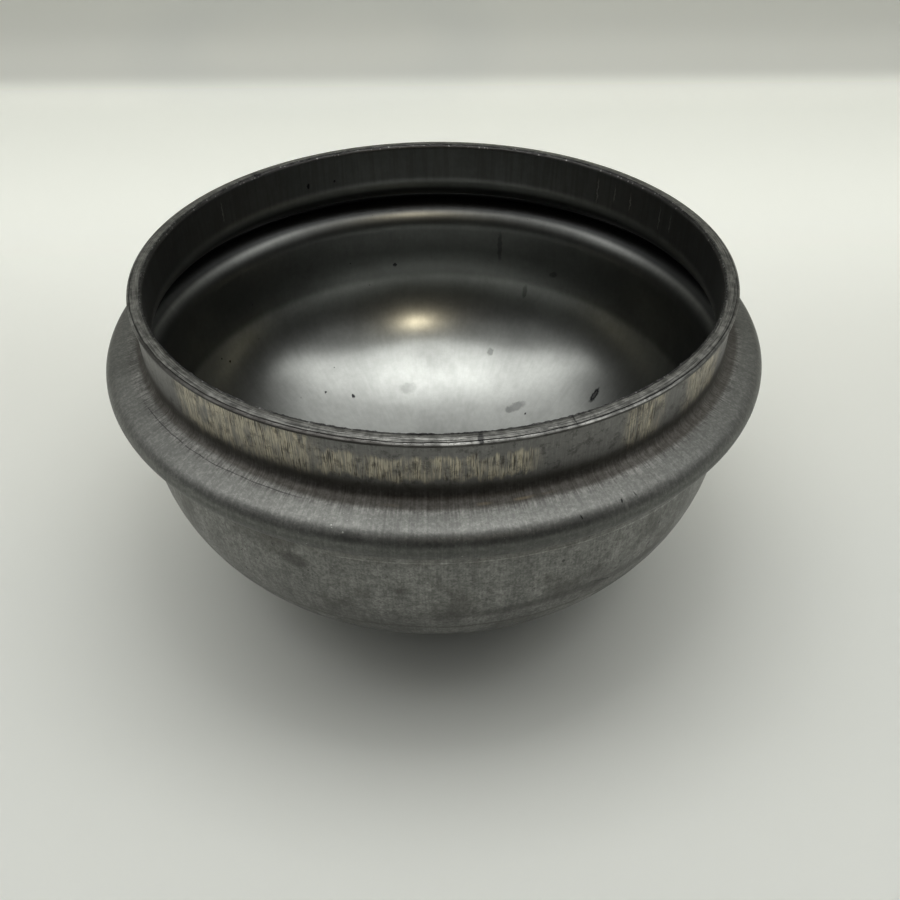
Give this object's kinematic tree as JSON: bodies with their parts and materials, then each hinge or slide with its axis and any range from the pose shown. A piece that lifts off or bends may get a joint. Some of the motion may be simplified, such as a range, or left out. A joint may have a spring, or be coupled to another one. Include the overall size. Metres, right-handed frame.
{
  "type": "deep drawn metal cup",
  "caption": "Round drawn sheet-steel cup with a domed bottom, a rolled bead and a short plain collar at the open mouth.",
  "frame": {"origin": "middle of the small flat that the cup stands on, on its axis", "axes": "+Z along the cup's axis, out of the open mouth; +X and +Y are any two directions across a round part"},
  "size_m": [0.157, 0.157, 0.0839],
  "materials": {
    "cup": "satin grey drawn low-carbon steel with dry soap film and light brown heat staining"
  },
  "bodies": {
    "root": {"cup": "cup"}
  },
  "joints": []
}
